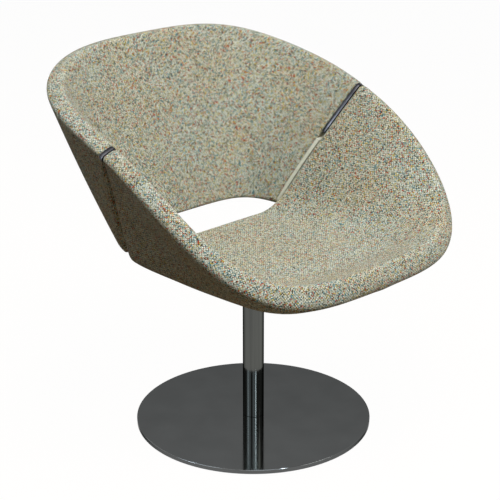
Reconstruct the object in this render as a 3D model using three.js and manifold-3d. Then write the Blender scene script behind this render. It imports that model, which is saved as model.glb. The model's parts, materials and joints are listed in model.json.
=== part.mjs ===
// Pedestal swivel armchair: two upholstered shells on a polished column and disc.
// Millimetres, +Z up. The origin is on the floor, on the column's axis, and the sitter faces -Y.

import * as THREE from 'three';
import { mergeVertices } from 'three/addons/utils/BufferGeometryUtils.js';
import Module from 'manifold-3d';

const wasm = await Module();
wasm.setup();

// Base disc and the ring it stands on
const discRadius = 250;
const discThickness = 9;
const discEdgeRounding = 1.5;
const floorRingRadius = 236;
const floorRingWidth = 12;
const floorRingHeight = 3;
const floorRingProud = 1;

// Column and its foot
const columnRadius = 22.5;
const columnWall = 3;
const plugHeight = 24;
const footBoltRadius = 6;
const footBoltHeadRadius = 11;
const footBoltHeadHeight = 6;
const footBoltRecess = 0.6;
const footBoltReach = 20;
const footSocketRadius = 4;
const footSocketDepth = 3.5;

// Swivel
const spindleRadius = 12.5;
const spindleLength = 150;
const spindleEndChamfer = 1.5;
const bossHeight = 30;
const bushFlangeHeight = 3;
const bushLength = 26;
const thrustWasherHeight = 2;
const lowerBushDrop = 84;
const retainingRingHeight = 1.5;
const retainingRingWidth = 3.5;
const retainingRingOpening = THREE.MathUtils.degToRad(50);
const grooveDepth = 1.2;

// Seat plate and its screws
const seatPlateRadius = 88;
const seatPlateThickness = 6;
const plateBoltCircleRadius = 66;
const plateBoltCount = 4;
const plateBoltRadius = 4;
const plateBoltHeadRadius = 7;
const plateBoltHeadHeight = 4.5;
const plateBoltSocketRadius = 3;
const plateBoltSocketDepth = 3;
const tNutBarrelRadius = 5.2;
const tNutBarrelLength = 11;
const tNutFlangeRadius = 10;
const tNutFlangeHeight = 1.5;
const plateRecessMargin = 4;

// Underside of the seat, from which every height of the two shells is counted
const undersideHeight = 371;

// Rim of the two shells: its outer top corner, in plan and above the underside
const rimHalfWidth = 369;
const rimFrontReach = 363;
const rimBackReach = 355;
const rimFrontSquareness = 3;
const rimBackSquareness = 3.05;
const rimFrontLift = 32;
const rimCornerLift = 82;
const rimFrontQuarterLift = 161;
const rimArmLift = 276;
const rimBackQuarterLift = 340;
const rimBackLift = 412;

// Thickness across the rim, and how far its inner corner stands above the outer one
const rimFrontThickness = 48;
const rimArmThickness = 36;
const rimBackThickness = 36;
const rimFrontRise = 44;
const rimArmRise = 20;
const rimBackRise = 8;

// Foot of the outer wall, where it would meet the underside
const footCentreY = -30;
const footHalfWidth = 225;
const footFrontReach = 282;
const footBackReach = 272;
const footFrontSquareness = 6.6;
const footBackSquareness = 3.7;
const footFrontLift = 27;

// Foot of the inner wall, where it would meet the seat pan
const panHalfWidth = 193;
const panFrontReach = 222;
const panBackReach = 245;
const panFrontSquareness = 3.4;
const panBackSquareness = 5.6;
const panRearLift = 26;
const panFrontLift = 39;

// Lower edge of the back, on its inner face
const backEdgeLift = 41;

// Roundings of the section's corners, as lengths along the sides they join, and the walls' crown
const rimOuterRounding = 9;
const rimInnerRounding = 12;
const lipRounding = 21;
const footRounding = 38;
const panRounding = 66;
const backEdgeRounding = 9;
const backEndRounding = 12;
const coreRounding = 20;
const frontWallBow = 5;
const backWallBow = 12;
const innerWallBow = 4;

// Joint between the shells: a tilted plane, with a plate in it at each arm
const jointY = 28;
const jointLift = 286;
const jointTilt = THREE.MathUtils.degToRad(21.9);
const jointGap = 9;
const jointPlateLength = 150;
const jointPlateRecess = 7;
const jointPlateTopBand = 14;
const jointStudDepths = [44, 112];
const jointStudRadius = 3;
const jointStudGrip = 13;
const jointInsertRadius = 4.5;
const jointInsertLength = 16;

// Moulded cores inside the upholstery
const coreWall = 14;
const coreFloorThickness = 13;
const coverOutside = 9;
const coverUnder = 6;
const coverEdge = 15;
const coverEnd = 9;
const coverFoot = 11;
const coverLip = 66;
const coverLipFoot = 80;

// Fit
const clearance = 0.3;
const cutOverrun = 5;

// Steps round each form, as counts
const skinSteps = 36;
const coreSteps = 28;
const backSkinSteps = 14;
const backCoreSteps = 10;
const roundingSteps = 3;
const footRoundingSteps = 3;
const coreRoundingSteps = 2;
const discSegments = 72;
const columnSegments = 48;
const bushSegments = 24;
const boltSegments = 16;
const hexSides = 6;
const plateLevels = 4;

// Shares chosen by hand
const flatFloorShare = 0.62;
const panRingShare = 0.45;
const rimCornerShare = 0.78;
const frontBlendShare = 0.94;
const roundingLimitShare = 0.48;
const endRoundingShares = [[0, 1], [0.13, 0.5], [0.5, 0.134], [1, 0]];
const angleProbe = 0.01;
const angleTolerance = 1e-6;

// Finishes
const polishedSteel = { color: 0x8d8f8e, roughness: 0.12, metalness: 1 };
const brightSteel = { color: 0xa9abad, roughness: 0.3, metalness: 1 };
const zincSteel = { color: 0xb4b2a8, roughness: 0.42, metalness: 0.9 };
const blackSteel = { color: 0x26272a, roughness: 0.5, metalness: 0.6 };
const blackRubber = { color: 0x1d1d1d, roughness: 0.85, metalness: 0 };
const paleNylon = { color: 0xd9d5c8, roughness: 0.5, metalness: 0 };
const tweed = { color: 0xa7a58e, roughness: 0.95, metalness: 0 };
const beechPly = { color: 0xc3a179, roughness: 0.7, metalness: 0 };

const chair = new THREE.Group();
const up = new THREE.Vector3(0, 0, 1);

function addPiece(parent, name, geometry, finish) {
  const mesh = new THREE.Mesh(geometry, new THREE.MeshStandardMaterial(finish));
  mesh.name = name;
  parent.add(mesh);
  return mesh;
}

// Solids and their cuts

function toSolid(geometry) {
  const bare = geometry.clone();
  bare.deleteAttribute('normal');
  bare.deleteAttribute('uv');
  const merged = mergeVertices(bare);
  return new wasm.Manifold(new wasm.Mesh({
    numProp: 3,
    vertProperties: new Float32Array(merged.attributes.position.array),
    triVerts: new Uint32Array(merged.index.array),
  }));
}

function toGeometry(solid) {
  const mesh = solid.getMesh();
  const geometry = new THREE.BufferGeometry();
  geometry.setAttribute('position', new THREE.BufferAttribute(new Float32Array(mesh.vertProperties), 3));
  geometry.setIndex(new THREE.BufferAttribute(new Uint32Array(mesh.triVerts), 1));
  geometry.computeVertexNormals();
  return geometry;
}

// A turned piece: its half profile as [radius, height] pairs, closed on itself or on the axis
function turned(profile, segments) {
  const points = profile.map(([radius, height]) => new THREE.Vector2(radius, height));
  const lathe = new THREE.LatheGeometry(points, segments);
  lathe.rotateX(Math.PI / 2);
  return lathe;
}

function tube(inner, outer, low, high, segments) {
  return turned([[inner, low], [outer, low], [outer, high], [inner, high], [inner, low]], segments);
}

// An upright rod, round or with flats
function rod(radius, low, high, sides) {
  const cylinder = new THREE.CylinderGeometry(radius, radius, high - low, sides);
  cylinder.rotateX(Math.PI / 2);
  cylinder.translate(0, 0, (low + high) / 2);
  return cylinder;
}

// Plan rings: squared ellipses, with a reach and a squareness of their own to the front and the back

const rimRing = {
  centreY: 0, halfWidth: rimHalfWidth, front: rimFrontReach, back: rimBackReach,
  frontSquareness: rimFrontSquareness, backSquareness: rimBackSquareness,
};
const footRing = {
  centreY: footCentreY, halfWidth: footHalfWidth, front: footFrontReach, back: footBackReach,
  frontSquareness: footFrontSquareness, backSquareness: footBackSquareness,
};
const panRing = {
  centreY: footCentreY, halfWidth: panHalfWidth, front: panFrontReach, back: panBackReach,
  frontSquareness: panFrontSquareness, backSquareness: panBackSquareness,
};

// A point of a ring in plan, at an angle counted from the front
function ringPoint(ring, angle) {
  const across = Math.abs(Math.sin(angle));
  const along = Math.abs(Math.cos(angle));
  const facesFront = Math.cos(angle) > 0;
  const reach = facesFront ? ring.front : ring.back;
  const power = facesFront ? ring.frontSquareness : ring.backSquareness;
  const radius = ((across / ring.halfWidth) ** power + (along / reach) ** power) ** (-1 / power);
  return new THREE.Vector3(radius * Math.sin(angle), ring.centreY - radius * Math.cos(angle), 0);
}

// Height of the rim's outer corner: the smooth curve through six named lifts, front to back
const rimStations = [
  [-rimFrontReach, rimFrontLift],
  [-rimFrontReach * rimCornerShare, rimCornerLift],
  [-rimFrontReach / 2, rimFrontQuarterLift],
  [0, rimArmLift],
  [rimBackReach / 2, rimBackQuarterLift],
  [rimBackReach, rimBackLift],
];

function rimHeight(y) {
  return rimStations.reduce((sum, [stationY, lift], station) => {
    const weight = rimStations.reduce((product, [otherY], other) => (
      other === station ? product : product * (y - otherY) / (stationY - otherY)
    ), 1);
    return sum + lift * weight;
  }, undersideHeight);
}

// The seat pan falls gently to the rear
function panHeight(y) {
  const share = (y - footCentreY + panFrontReach) / (panFrontReach + panBackReach);
  return undersideHeight + THREE.MathUtils.lerp(panFrontLift, panRearLift, share);
}

// A size that changes round the rim, blended between its front, arm and back values
function roundTheRim(angle, front, arm, back) {
  const share = Math.cos(angle);
  return share > 0
    ? THREE.MathUtils.lerp(arm, front, share ** frontBlendShare)
    : THREE.MathUtils.lerp(arm, back, -share);
}

// The wall's section at an angle: the foot and the rim of its outer face, then of its inner face
function sectionAt(angle) {
  const rimOuter = ringPoint(rimRing, angle);
  rimOuter.z = rimHeight(rimOuter.y);
  const along = ringPoint(rimRing, angle + angleProbe).sub(ringPoint(rimRing, angle - angleProbe));
  const inward = new THREE.Vector3(-along.y, along.x, 0).normalize();

  const thickness = roundTheRim(angle, rimFrontThickness, rimArmThickness, rimBackThickness);
  const rise = roundTheRim(angle, rimFrontRise, rimArmRise, rimBackRise);
  const reach = Math.sqrt(thickness ** 2 - rise ** 2);
  const rimInner = rimOuter.clone().addScaledVector(inward, reach).addScaledVector(up, rise);

  const footOuter = ringPoint(footRing, angle);
  footOuter.z = undersideHeight + footFrontLift * Math.max(0, Math.cos(angle)) ** 2;
  const footInner = ringPoint(panRing, angle);
  footInner.z = panHeight(footInner.y);
  return withDirections({ angle, inward, footOuter, rimOuter, rimInner, footInner });
}

// The directions up each face, and through the wall from the outer face and from the inner one
function withDirections(section) {
  const outerUp = section.rimOuter.clone().sub(section.footOuter).normalize();
  const innerUp = section.rimInner.clone().sub(section.footInner).normalize();
  const through = (faceUp) => section.inward.clone()
    .addScaledVector(faceUp, -faceUp.dot(section.inward))
    .normalize();
  return { ...section, outerUp, innerUp, outerIn: through(outerUp), innerOut: through(innerUp).negate() };
}

function shifted(point, direction, distance, otherDirection, otherDistance) {
  return point.clone().addScaledVector(direction, distance).addScaledVector(otherDirection, otherDistance);
}

// The back's wall ends square at its lower edge, above where the seat pan would be
function backSectionAt(angle) {
  const whole = sectionAt(angle);
  const { outerUp, innerUp } = whole;
  const rise = (undersideHeight + backEdgeLift - whole.footInner.z) / innerUp.z;
  const footInner = whole.footInner.clone().addScaledVector(innerUp, rise);
  const slide = footInner.clone().sub(whole.footOuter).dot(innerUp) / outerUp.dot(innerUp);
  const footOuter = whole.footOuter.clone().addScaledVector(outerUp, slide);
  return withDirections({ ...whole, footInner, footOuter });
}

// The back's section with all four sides drawn in
function drawnIn(section, inset) {
  const { outerUp, innerUp, outerIn, innerOut } = section;
  return {
    ...section,
    footOuter: shifted(section.footOuter, outerIn, inset, outerUp, inset),
    rimOuter: shifted(section.rimOuter, outerIn, inset, outerUp, -inset),
    rimInner: shifted(section.rimInner, innerOut, inset, innerUp, -inset),
    footInner: shifted(section.footInner, innerOut, inset, innerUp, inset),
  };
}

// A core's section: a wall of one thickness, near the outer face, grown by an allowance
function coreSection(section, grow) {
  const { angle, inward, outerUp, outerIn } = section;
  const drop = roundTheRim(angle, coverLip, coverEdge, coverEdge);
  const rim = shifted(section.rimOuter, outerIn, coverOutside, outerUp, -drop);
  const foot = section.footOuter.clone()
    .addScaledVector(inward, roundTheRim(angle, coverLipFoot, coverFoot, coverFoot))
    .setZ(undersideHeight + coverUnder);
  const wallUp = rim.clone().sub(foot).normalize();
  const wallIn = inward.clone().addScaledVector(wallUp, -wallUp.dot(inward)).normalize();
  const atHeight = (depth, height) => {
    const start = foot.clone().addScaledVector(wallIn, depth);
    return start.addScaledVector(wallUp, (height - start.z) / wallUp.z);
  };
  return withDirections({
    ...section,
    footOuter: atHeight(-grow, foot.z - grow),
    rimOuter: shifted(rim, wallIn, -grow, wallUp, grow),
    rimInner: shifted(rim, wallIn, coreWall + grow, wallUp, grow),
    footInner: atHeight(coreWall + grow, foot.z + coreFloorThickness + grow),
  });
}

// The back's core follows the same wall, and ends square above the lower edge
function backCoreSection(angle, grow) {
  const core = coreSection(sectionAt(angle), grow);
  const rise = (undersideHeight + backEdgeLift + coverEdge - grow - core.footInner.z) / core.innerUp.z;
  const footInner = core.footInner.clone().addScaledVector(core.innerUp, rise);
  const footOuter = footInner.clone().addScaledVector(core.innerOut, coreWall + grow * 2);
  return [footOuter, core.rimOuter, core.rimInner, footInner];
}

// A rounded corner between two neighbours, as points on a quadratic curve
function rounded(before, corner, after, length, steps) {
  const reachTo = (neighbour) => {
    const side = neighbour.clone().sub(corner);
    const reach = Math.min(length, side.length() * roundingLimitShare);
    return corner.clone().addScaledVector(side.normalize(), reach);
  };
  return new THREE.QuadraticBezierCurve3(reachTo(before), corner, reachTo(after)).getPoints(steps);
}

// The middle of a wall's face, bowed outwards
function bowed(low, high, away, bow) {
  return low.clone().lerp(high, 1 / 2).addScaledVector(away, bow);
}

// Both upholstered faces of the wall from foot to foot, over the rim
function skinPath(section, beforeFoot, afterFoot, footSizes) {
  const { footOuter, rimOuter, rimInner, footInner, outerIn, innerOut, angle } = section;
  const { outerFoot, innerFoot, footSteps } = footSizes;
  const outerRim = roundTheRim(angle, lipRounding, rimOuterRounding, rimOuterRounding);
  const innerRim = roundTheRim(angle, lipRounding, rimInnerRounding, rimInnerRounding);

  // Flat at the arms, where the plates sit
  const outerBow = roundTheRim(angle, frontWallBow, 0, backWallBow);
  const innerBow = roundTheRim(angle, innerWallBow, 0, innerWallBow);
  return [
    ...rounded(beforeFoot, footOuter, rimOuter, outerFoot, footSteps),
    bowed(footOuter, rimOuter, outerIn, -outerBow),
    ...rounded(footOuter, rimOuter, rimInner, outerRim, roundingSteps),
    ...rounded(rimOuter, rimInner, footInner, innerRim, roundingSteps),
    bowed(rimInner, footInner, innerOut, -innerBow),
    ...rounded(rimInner, footInner, afterFoot, innerFoot, footSteps),
  ];
}

// Both faces of a core, with a square rim
function corePath(section, beforeFoot, afterFoot) {
  const { footOuter, rimOuter, rimInner, footInner } = section;
  return [
    ...rounded(beforeFoot, footOuter, rimOuter, coreRounding, coreRoundingSteps),
    rimOuter,
    rimInner,
    ...rounded(rimInner, footInner, afterFoot, coreRounding, coreRoundingSteps),
  ];
}

// A closed skin over rows of points, each row one station along the form, with a cap over each end
function cappedSkin(rows) {
  const width = rows[0].length;
  const positions = rows.flat().flatMap((point) => point.toArray());
  const indices = [];
  for (let row = 0; row < rows.length - 1; row += 1) {
    for (let column = 0; column < width; column += 1) {
      const beside = (column + 1) % width;
      indices.push(row * width + column, (row + 1) * width + column, (row + 1) * width + beside);
      indices.push(row * width + column, (row + 1) * width + beside, row * width + beside);
    }
  }
  [0, rows.length - 1].forEach((row) => {
    const centre = rows[row].reduce((sum, point) => sum.add(point), new THREE.Vector3()).divideScalar(width);
    const centreIndex = positions.length / 3;
    positions.push(...centre.toArray());
    for (let column = 0; column < width; column += 1) {
      const edge = [row * width + column, row * width + (column + 1) % width];
      indices.push(centreIndex, ...(row === 0 ? edge : edge.reverse()));
    }
  });
  return indexedGeometry(positions, indices);
}

function indexedGeometry(positions, indices) {
  const geometry = new THREE.BufferGeometry();
  geometry.setAttribute('position', new THREE.Float32BufferAttribute(positions, 3));
  geometry.setIndex(indices);
  return geometry;
}

// A whole bowl: each section runs from the middle of the underside over the rim to the pan's middle
function bowl(steps, sectionOf, pathOf, floorHeight, panHeightOf) {
  const rows = [];
  for (let step = 0; step < steps; step += 1) {
    const section = sectionOf((step / steps) * 2 * Math.PI);
    const floorMiddle = new THREE.Vector3(0, footCentreY, floorHeight);
    const panMiddle = new THREE.Vector3(0, footCentreY, panHeightOf(footCentreY));
    const floorRim = section.footOuter.clone().setZ(floorHeight);
    const flatFloor = floorMiddle.clone().lerp(floorRim, flatFloorShare);
    const panRim = panMiddle.clone().lerp(section.footInner, panRingShare);
    panRim.z = panHeightOf(panRim.y);
    rows.push([floorMiddle, flatFloor, ...pathOf(section, flatFloor, panRim), panRim, panMiddle]);
  }
  return poledSkin(rows);
}

// Rows that share their first and last points, closed round the form
function poledSkin(rows) {
  const width = rows[0].length;
  const ringWidth = width - 2;
  const positions = rows.flatMap((row) => row.slice(1, -1)).flatMap((point) => point.toArray());
  const floorIndex = rows.length * ringWidth;
  const panIndex = floorIndex + 1;
  positions.push(...rows[0][0].toArray(), ...rows[0][width - 1].toArray());
  const indices = [];
  rows.forEach((row, index) => {
    const here = index * ringWidth;
    const next = ((index + 1) % rows.length) * ringWidth;
    indices.push(floorIndex, next, here);
    for (let column = 0; column < ringWidth - 1; column += 1) {
      indices.push(here + column, next + column, next + column + 1);
      indices.push(here + column, next + column + 1, here + column + 1);
    }
    indices.push(panIndex, here + ringWidth - 1, next + ringWidth - 1);
  });
  return indexedGeometry(positions, indices);
}

// The joint plane: how far a point lies behind it
const jointPoint = new THREE.Vector3(0, jointY, undersideHeight + jointLift);
const jointNormal = new THREE.Vector3(0, Math.cos(jointTilt), Math.sin(jointTilt));

function behindJoint(point) {
  return point.clone().sub(jointPoint).dot(jointNormal);
}

// The angle, on the right-hand side, at which a point of the wall lies a given distance behind the joint
function angleAtJoint(pointAt, distance) {
  let low = Math.PI / 4;
  let high = Math.PI;
  while (high - low > angleTolerance) {
    const middle = (low + high) / 2;
    if (behindJoint(pointAt(middle)) < distance) low = middle;
    else high = middle;
  }
  return (low + high) / 2;
}

// The back's wall between the two joints, with its flat ends rounded over
function backBand(steps, pathOf, endDistance, endRounding) {
  const width = pathOf(Math.PI, 0).length;
  const columns = [...Array(width).keys()];
  const shares = endRounding > 0 ? endRoundingShares : [[0, 0]];
  const rows = shares.map(([along, drawn]) => columns.map((column) => {
    const inset = drawn * endRounding;
    const pointAt = (angle) => pathOf(angle, inset)[column];
    return pointAt(angleAtJoint(pointAt, endDistance + along * endRounding));
  }));
  const startAngles = columns.map((column) => (
    angleAtJoint((angle) => pathOf(angle, 0)[column], endDistance + endRounding)
  ));
  for (let step = 1; step <= steps; step += 1) {
    rows.push(columns.map((column) => {
      const angle = THREE.MathUtils.lerp(startAngles[column], Math.PI, step / steps);
      return pathOf(angle, 0)[column];
    }));
  }
  const mirrored = rows.slice(0, -1).reverse().map((row) => (
    row.map((point) => new THREE.Vector3(-point.x, point.y, point.z))
  ));
  return cappedSkin([...rows, ...mirrored]);
}

// A block that fills everything further forward than a distance in front of the joint plane
function frontBlock(distance) {
  const size = (rimHalfWidth + cutOverrun) * 4;
  const block = new THREE.BoxGeometry(size, size, size);
  block.translate(0, -size / 2 - distance, 0);
  block.rotateX(jointTilt);
  block.translate(jointPoint.x, jointPoint.y, jointPoint.z);
  return toSolid(block);
}

// Base: the disc, its floor ring, the column and what holds it down

const discLow = floorRingProud;
const discHigh = discLow + discThickness;
const footHoleRadius = footBoltRadius + clearance;
const footHeadHoleRadius = footBoltHeadRadius + clearance;
const ringGrooveDepth = floorRingHeight - floorRingProud + clearance;

const discProfile = [
  [footHeadHoleRadius, discLow],
  [floorRingRadius - floorRingWidth - clearance, discLow],
  [floorRingRadius - floorRingWidth - clearance, discLow + ringGrooveDepth],
  [floorRingRadius + clearance, discLow + ringGrooveDepth],
  [floorRingRadius + clearance, discLow],
  [discRadius - discEdgeRounding, discLow],
  [discRadius, discLow + discEdgeRounding],
  [discRadius, discHigh - discEdgeRounding],
  [discRadius - discEdgeRounding, discHigh],
  [footHoleRadius, discHigh],
  [footHoleRadius, discLow + footBoltRecess + footBoltHeadHeight],
  [footHeadHoleRadius, discLow + footBoltRecess],
  [footHeadHoleRadius, discLow],
];
addPiece(chair, 'base_disc', turned(discProfile, discSegments), polishedSteel);
addPiece(
  chair, 'floor_ring',
  tube(floorRingRadius - floorRingWidth, floorRingRadius, 0, floorRingHeight, discSegments), blackRubber,
);

const bossHigh = undersideHeight + coverUnder - clearance * 2 - seatPlateThickness;
const bossLow = bossHigh - bossHeight;
const thrustHigh = bossLow - clearance;
const thrustLow = thrustHigh - thrustWasherHeight;
const bushHigh = thrustLow - clearance;
const columnLow = discHigh + clearance;
const columnHigh = bushHigh - bushFlangeHeight - clearance;
const columnBore = columnRadius - columnWall;
const bushRadius = columnBore - clearance;
const bushBore = spindleRadius + clearance;

addPiece(chair, 'column_tube', tube(columnBore, columnRadius, columnLow, columnHigh, columnSegments), polishedSteel);
addPiece(
  chair, 'column_plug',
  tube(footHoleRadius, bushRadius, columnLow, columnLow + plugHeight, bushSegments), brightSteel,
);

const boltLow = discLow + footBoltRecess;
const footBolt = turned([
  [0, boltLow],
  [footBoltHeadRadius, boltLow],
  [footBoltRadius, boltLow + footBoltHeadHeight - clearance],
  [footBoltRadius, discHigh + footBoltReach],
  [0, discHigh + footBoltReach],
], bushSegments);
const footSocket = rod(footSocketRadius, boltLow - cutOverrun, boltLow + footSocketDepth, hexSides);
addPiece(chair, 'foot_bolt', toGeometry(toSolid(footBolt).subtract(toSolid(footSocket))), zincSteel);

// Swivel: bushes and thrust washer in the column, the spindle turning in them

const upperBush = turned([
  [bushBore, bushHigh - bushLength],
  [bushRadius, bushHigh - bushLength],
  [bushRadius, bushHigh - bushFlangeHeight],
  [columnRadius, bushHigh - bushFlangeHeight],
  [columnRadius, bushHigh],
  [bushBore, bushHigh],
  [bushBore, bushHigh - bushLength],
], bushSegments);
addPiece(chair, 'upper_bush', upperBush, paleNylon);

const lowerBushHigh = columnHigh - lowerBushDrop;
const lowerBushLow = lowerBushHigh - bushLength;
addPiece(chair, 'lower_bush', tube(bushBore, bushRadius, lowerBushLow, lowerBushHigh, bushSegments), paleNylon);
addPiece(chair, 'thrust_washer', tube(bushBore, columnRadius, thrustLow, thrustHigh, bushSegments), blackSteel);

const swivelGroup = new THREE.Group();
chair.add(swivelGroup);

const spindleLow = bossLow - spindleLength;
const grooveHigh = lowerBushLow - clearance;
const grooveLow = grooveHigh - retainingRingHeight - clearance * 2;
const grooveRadius = spindleRadius - grooveDepth;
const spindle = turned([
  [0, spindleLow],
  [spindleRadius - spindleEndChamfer, spindleLow],
  [spindleRadius, spindleLow + spindleEndChamfer],
  [spindleRadius, grooveLow],
  [grooveRadius, grooveLow],
  [grooveRadius, grooveHigh],
  [spindleRadius, grooveHigh],
  [spindleRadius, bossLow],
  [columnRadius, bossLow],
  [columnRadius, bossHigh],
  [0, bossHigh],
], bushSegments);
addPiece(swivelGroup, 'swivel_spindle', spindle, polishedSteel);

const ringShape = new THREE.Shape();
const ringInner = grooveRadius + clearance;
const ringOuter = ringInner + retainingRingWidth;
ringShape.absarc(0, 0, ringOuter, retainingRingOpening / 2, 2 * Math.PI - retainingRingOpening / 2, false);
ringShape.absarc(0, 0, ringInner, 2 * Math.PI - retainingRingOpening / 2, retainingRingOpening / 2, true);
const retainingRing = new THREE.ExtrudeGeometry(ringShape, {
  depth: retainingRingHeight, bevelEnabled: false, curveSegments: boltSegments,
});
retainingRing.rotateZ(-Math.PI / 2);
retainingRing.translate(0, 0, grooveLow + clearance);
addPiece(swivelGroup, 'retaining_ring', retainingRing, blackSteel);

// Seat plate: a round plate under the seat's core, with four screws into nuts in the core

const plateHigh = undersideHeight + coverUnder - clearance;
const plateLow = plateHigh - seatPlateThickness;
const plateBoltPlaces = [...Array(plateBoltCount).keys()].map((index) => {
  const angle = ((index + 1 / 2) / plateBoltCount) * 2 * Math.PI;
  return new THREE.Vector3(plateBoltCircleRadius * Math.cos(angle), plateBoltCircleRadius * Math.sin(angle), 0);
});

function cutBy(solid, tools) {
  return tools.reduce((result, tool) => result.subtract(tool), solid);
}

function atPlateBolts(radius, low, high) {
  return plateBoltPlaces.map((place) => {
    const tool = rod(radius, low, high, boltSegments);
    tool.translate(place.x, place.y, 0);
    return toSolid(tool);
  });
}

const seatPlate = cutBy(
  toSolid(rod(seatPlateRadius, plateLow, plateHigh, columnSegments)),
  atPlateBolts(plateBoltRadius + clearance, plateLow - cutOverrun, plateHigh + cutOverrun),
);
addPiece(swivelGroup, 'seat_plate', toGeometry(seatPlate), blackSteel);

const coreLow = undersideHeight + coverUnder;
const coreHigh = coreLow + coreFloorThickness;
const boltHeadHigh = plateLow - clearance;
const boltHeadLow = boltHeadHigh - plateBoltHeadHeight;
const boltTip = coreHigh - clearance;
const tNutHigh = coreHigh + clearance + tNutFlangeHeight;

function plateBolt() {
  const body = turned([
    [0, boltHeadLow],
    [plateBoltHeadRadius, boltHeadLow],
    [plateBoltHeadRadius, boltHeadHigh],
    [plateBoltRadius, boltHeadHigh],
    [plateBoltRadius, boltTip],
    [0, boltTip],
  ], boltSegments);
  const socket = rod(plateBoltSocketRadius, boltHeadLow - cutOverrun, boltHeadLow + plateBoltSocketDepth, hexSides);
  return toGeometry(toSolid(body).subtract(toSolid(socket)));
}

function tNut() {
  return turned([
    [plateBoltRadius + clearance, coreHigh - tNutBarrelLength],
    [tNutBarrelRadius, coreHigh - tNutBarrelLength],
    [tNutBarrelRadius, coreHigh + clearance],
    [tNutFlangeRadius, coreHigh + clearance],
    [tNutFlangeRadius, tNutHigh],
    [plateBoltRadius + clearance, tNutHigh],
    [plateBoltRadius + clearance, coreHigh - tNutBarrelLength],
  ], boltSegments);
}

plateBoltPlaces.forEach((place, index) => {
  const bolt = addPiece(swivelGroup, `plate_bolt_${index + 1}`, plateBolt(), zincSteel);
  bolt.position.copy(place);
  const nut = addPiece(swivelGroup, `t_nut_${index + 1}`, tNut(), zincSteel);
  nut.position.copy(place);
});

// The joint's own frame: its Y runs square through the joint plane, its Z up along it
const jointGroup = new THREE.Group();
jointGroup.position.copy(jointPoint);
jointGroup.rotation.x = jointTilt;
swivelGroup.add(jointGroup);
jointGroup.updateMatrixWorld(true);

// Where a line that runs round the wall crosses the middle of the joint, in that frame
function inJoint(pointAt) {
  const local = jointGroup.worldToLocal(pointAt(angleAtJoint(pointAt, 0)));
  return new THREE.Vector2(local.x, local.z);
}

function onOuterFace(down, depth) {
  return inJoint((angle) => {
    const section = sectionAt(angle);
    return shifted(section.rimOuter, section.outerUp, -down, section.outerIn, depth);
  });
}

function onInnerFace(down) {
  return inJoint((angle) => {
    const section = sectionAt(angle);
    return section.rimInner.addScaledVector(section.innerUp, -down);
  });
}

// The studs stand in the middle of the core's wall
const studPlaces = jointStudDepths.map((down) => inJoint((angle) => {
  const { rimOuter, rimInner, footOuter, footInner } = coreSection(sectionAt(angle), 0);
  const top = rimOuter.lerp(rimInner, 1 / 2);
  const foot = footOuter.lerp(footInner, 1 / 2);
  return top.addScaledVector(foot.sub(top).normalize(), down - coverEdge);
}));

// Outline of a joint plate: over the whole rim, down the inner face, and held back from the outer one
function plateOutline() {
  const rimOuter = onOuterFace(0, 0);
  const rimInner = onInnerFace(0);
  const corner = (before, at, after, length) => rounded(
    new THREE.Vector3(before.x, before.y, 0), new THREE.Vector3(at.x, at.y, 0),
    new THREE.Vector3(after.x, after.y, 0), length, roundingSteps,
  ).map((point) => new THREE.Vector2(point.x, point.y));
  const levels = [...Array(plateLevels + 1).keys()].map((level) => (level / plateLevels) * jointPlateLength);
  const heldBack = levels.filter((down) => down > jointPlateTopBand).reverse();
  return [
    onOuterFace(jointPlateTopBand, 0),
    ...corner(onOuterFace(jointPlateLength, 0), rimOuter, rimInner, rimOuterRounding),
    ...corner(rimOuter, rimInner, onInnerFace(jointPlateLength), rimInnerRounding),
    ...levels.slice(1).map((down) => onInnerFace(down)),
    ...heldBack.map((down) => onOuterFace(down, jointPlateRecess)),
    onOuterFace(jointPlateTopBand, jointPlateRecess),
  ];
}

// A length along the joint's Y, made from one that stands on its own Z
function alongJoint(geometry) {
  geometry.rotateX(-Math.PI / 2);
  return geometry;
}

const plateThickness = jointGap - clearance * 2;
const coreEnd = jointGap / 2 + coverEnd;

function jointPlate(side) {
  const mirror = (point) => new THREE.Vector2(point.x * side, point.y);
  const outline = plateOutline().map(mirror);
  const shape = new THREE.Shape(side > 0 ? outline : outline.reverse());
  studPlaces.map(mirror).forEach((place) => {
    const hole = new THREE.Path();
    hole.absarc(place.x, place.y, jointStudRadius + clearance, 0, 2 * Math.PI, true);
    shape.holes.push(hole);
  });
  const plate = new THREE.ExtrudeGeometry(shape, {
    depth: plateThickness, bevelEnabled: false, curveSegments: boltSegments / 2,
  });
  plate.translate(0, 0, -plateThickness / 2);
  plate.rotateX(Math.PI / 2);
  return plate;
}

// Tools that cut the stud holes and the insert pockets, in the chair's frame
function jointTools(radius, from, to) {
  return [1, -1].flatMap((side) => studPlaces.map((place) => {
    const tool = alongJoint(rod(radius, from, to, boltSegments));
    tool.translate(place.x * side, 0, place.y);
    tool.applyMatrix4(jointGroup.matrixWorld);
    return toSolid(tool);
  }));
}

[['right', 1], ['left', -1]].forEach(([sideName, side]) => {
  addPiece(jointGroup, `joint_plate_${sideName}`, jointPlate(side), polishedSteel);
  studPlaces.forEach((place, index) => {
    const level = ['upper', 'lower'][index];
    const reach = coreEnd + jointStudGrip;
    const stud = addPiece(
      jointGroup, `joint_stud_${sideName}_${level}`,
      alongJoint(rod(jointStudRadius, -reach, reach, boltSegments)), zincSteel,
    );
    stud.position.set(place.x * side, 0, place.y);
    [['seat', -coreEnd - jointInsertLength], ['back', coreEnd]].forEach(([shellName, start]) => {
      const sleeve = tube(
        jointStudRadius + clearance, jointInsertRadius, start, start + jointInsertLength, boltSegments,
      );
      const name = `${shellName}_insert_${sideName}_${level}`;
      const insert = addPiece(jointGroup, name, alongJoint(sleeve), brightSteel);
      insert.position.set(place.x * side, 0, place.y);
    });
  });
});

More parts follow.
